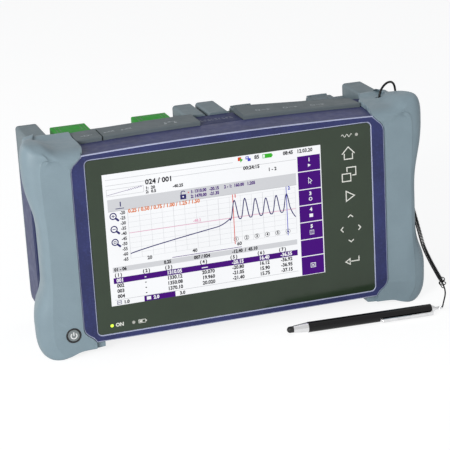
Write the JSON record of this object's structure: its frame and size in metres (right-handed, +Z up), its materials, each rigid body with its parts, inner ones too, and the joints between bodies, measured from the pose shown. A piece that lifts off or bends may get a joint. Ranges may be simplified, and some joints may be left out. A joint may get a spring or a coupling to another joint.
{
  "type": "optical time domain reflectometer",
  "caption": "Handheld fibre tester with touch screen, rubber end bumpers, top connector flaps, plug-in test modules with capped ports, folding stand and tethered stylus.",
  "frame": {"origin": "on the table, under the middle of the unit (stylus and tether left out)", "axes": "+X to the user's right, +Y away from the user, out of the back of the unit, +Z up"},
  "size_m": [0.2808, 0.1197, 0.1524],
  "materials": {
    "bumper_rubber": "soft-touch grey-blue elastomer",
    "case_plastic": "textured blue-violet plastic",
    "case_plastic_rear": "textured slate-blue plastic",
    "module_plastic": "grey textured plastic",
    "flap_rubber": "grey rubber",
    "panel_glass": "dark olive back-printed touch panel",
    "lcd": "display cell",
    "light_pipe": "clear light pipe",
    "circuit_board": "glass-fibre laminate with solder mask",
    "sheet_steel": "zinc-plated sheet",
    "cell_wrap": "battery sleeve",
    "screw_steel": "plated steel",
    "black_plastic": "black moulded plastic",
    "socket_metal": "stamped shield",
    "port_metal": "turned metal",
    "adapter_green": "green adapter plastic",
    "optics_metal": "cast optical block",
    "button_grey": "grey key",
    "bail_steel": "nickel-plated wire",
    "cord_black": "black polyurethane cord",
    "stylus_black": "black lacquered tube",
    "stylus_metal": "bright metal",
    "stylus_rubber": "conductive rubber"
  },
  "bodies": {
    "unit": {"backplane_board": "circuit_board", "battery_door": "module_plastic", "battery_door_screws": "screw_steel", "battery_pack": "cell_wrap", "bumper_screws": "screw_steel", "connector_board": "circuit_board", "dc_inlet": "black_plastic", "display_bracket": "sheet_steel", "ethernet_jack": "socket_metal", "fan_housing": "black_plastic", "fibre_test_ports": "port_metal", "flap_hinge_strips": "flap_rubber", "front_shell": "case_plastic", "key_board": "circuit_board", "lcd_display": "lcd", "left_bumper": "bumper_rubber", "left_module_case": "module_plastic", "left_module_cover": "module_plastic", "left_module_optics": "optics_metal", "left_port_adapters": "adapter_green", "main_board": "circuit_board", "module_carrier": "module_plastic", "port_cap_pins": "screw_steel", "power_button_ring": "black_plastic", "power_switch": "circuit_board", "rear_shell": "case_plastic_rear", "right_bumper": "bumper_rubber", "right_module_case": "module_plastic", "right_module_cover": "module_plastic", "right_module_optics": "optics_metal", "right_port_adapters": "adapter_green", "speaker": "black_plastic", "status_lights": "light_pipe", "stylus_barrel": "stylus_black", "stylus_cap": "stylus_metal", "stylus_clip": "stylus_metal", "stylus_ferrule": "stylus_metal", "stylus_tether": "cord_black", "stylus_tip": "stylus_rubber", "tether_loop": "cord_black", "tether_thread": "cord_black", "touch_panel": "panel_glass", "usb_ports": "black_plastic"},
    "power_button_body": {"power_button": "button_grey"},
    "power_flap_body": {"power_flap": "flap_rubber"},
    "data_flap_body": {"data_flap": "flap_rubber"},
    "fibre_flap_body": {"fibre_flap": "flap_rubber"},
    "left_port_cap_inner_body": {"left_port_cap_inner": "adapter_green"},
    "left_port_cap_outer_body": {"left_port_cap_outer": "adapter_green"},
    "right_port_cap_inner_body": {"right_port_cap_inner": "black_plastic"},
    "right_port_cap_outer_body": {"right_port_cap_outer": "black_plastic"},
    "left_module_screw_inner_body": {"left_module_screw_inner": "screw_steel"},
    "left_module_screw_outer_body": {"left_module_screw_outer": "screw_steel"},
    "right_module_screw_inner_body": {"right_module_screw_inner": "screw_steel"},
    "right_module_screw_outer_body": {"right_module_screw_outer": "screw_steel"},
    "tilt_bail_body": {"tilt_bail": "bail_steel"},
    "fan_rotor_body": {"fan_rotor": "black_plastic"}
  },
  "joints": [
    {"name": "power_button_press", "type": "slide", "parent": "unit", "child": "power_button_body", "axis": [0, 1, 0], "range_m": [0, 0.0008], "stiffness_N_per_m": 1200},
    {"name": "power_flap_hinge", "type": "hinge", "parent": "unit", "child": "power_flap_body", "pos_m": [-0.089, 0.00675, 0.1422], "axis": [-1, 0, 0], "range_deg": [0, 105]},
    {"name": "data_flap_hinge", "type": "hinge", "parent": "unit", "child": "data_flap_body", "pos_m": [-0.046, 0.00675, 0.1435], "axis": [-1, 0, 0], "range_deg": [0, 105]},
    {"name": "fibre_flap_hinge", "type": "hinge", "parent": "unit", "child": "fibre_flap_body", "pos_m": [0.061, 0.00675, 0.1454], "axis": [-1, 0, 0], "range_deg": [0, 105]},
    {"name": "left_port_cap_inner_hinge", "type": "hinge", "parent": "unit", "child": "left_port_cap_inner_body", "pos_m": [-0.0345, 0.0416, 0.1352], "axis": [-1, 0, 0], "range_deg": [0, 110]},
    {"name": "left_port_cap_outer_hinge", "type": "hinge", "parent": "unit", "child": "left_port_cap_outer_body", "pos_m": [-0.0925, 0.0416, 0.1352], "axis": [-1, 0, 0], "range_deg": [0, 110]},
    {"name": "right_port_cap_inner_hinge", "type": "hinge", "parent": "unit", "child": "right_port_cap_inner_body", "pos_m": [0.0345, 0.0416, 0.1352], "axis": [-1, 0, 0], "range_deg": [0, 110]},
    {"name": "right_port_cap_outer_hinge", "type": "hinge", "parent": "unit", "child": "right_port_cap_outer_body", "pos_m": [0.0925, 0.0416, 0.1352], "axis": [-1, 0, 0], "range_deg": [0, 110]},
    {"name": "left_module_screw_inner_turn", "type": "hinge", "parent": "unit", "child": "left_module_screw_inner_body", "pos_m": [-0.0098, 0.0434, 0.072], "axis": [0, 1, 0], "continuous": true},
    {"name": "left_module_screw_outer_turn", "type": "hinge", "parent": "unit", "child": "left_module_screw_outer_body", "pos_m": [-0.1194, 0.0434, 0.072], "axis": [0, 1, 0], "continuous": true},
    {"name": "right_module_screw_inner_turn", "type": "hinge", "parent": "unit", "child": "right_module_screw_inner_body", "pos_m": [0.0098, 0.0434, 0.072], "axis": [0, 1, 0], "continuous": true},
    {"name": "right_module_screw_outer_turn", "type": "hinge", "parent": "unit", "child": "right_module_screw_outer_body", "pos_m": [0.1194, 0.0434, 0.072], "axis": [0, 1, 0], "continuous": true},
    {"name": "tilt_bail_hinge", "type": "hinge", "parent": "unit", "child": "tilt_bail_body", "pos_m": [0, 0.036, 0.0041], "axis": [1, 0, 0], "range_deg": [0, 120]},
    {"name": "fan_spin", "type": "hinge", "parent": "unit", "child": "fan_rotor_body", "pos_m": [-0.099, -0.0045, 0.015], "axis": [0, 0, 1], "continuous": true}
  ]
}
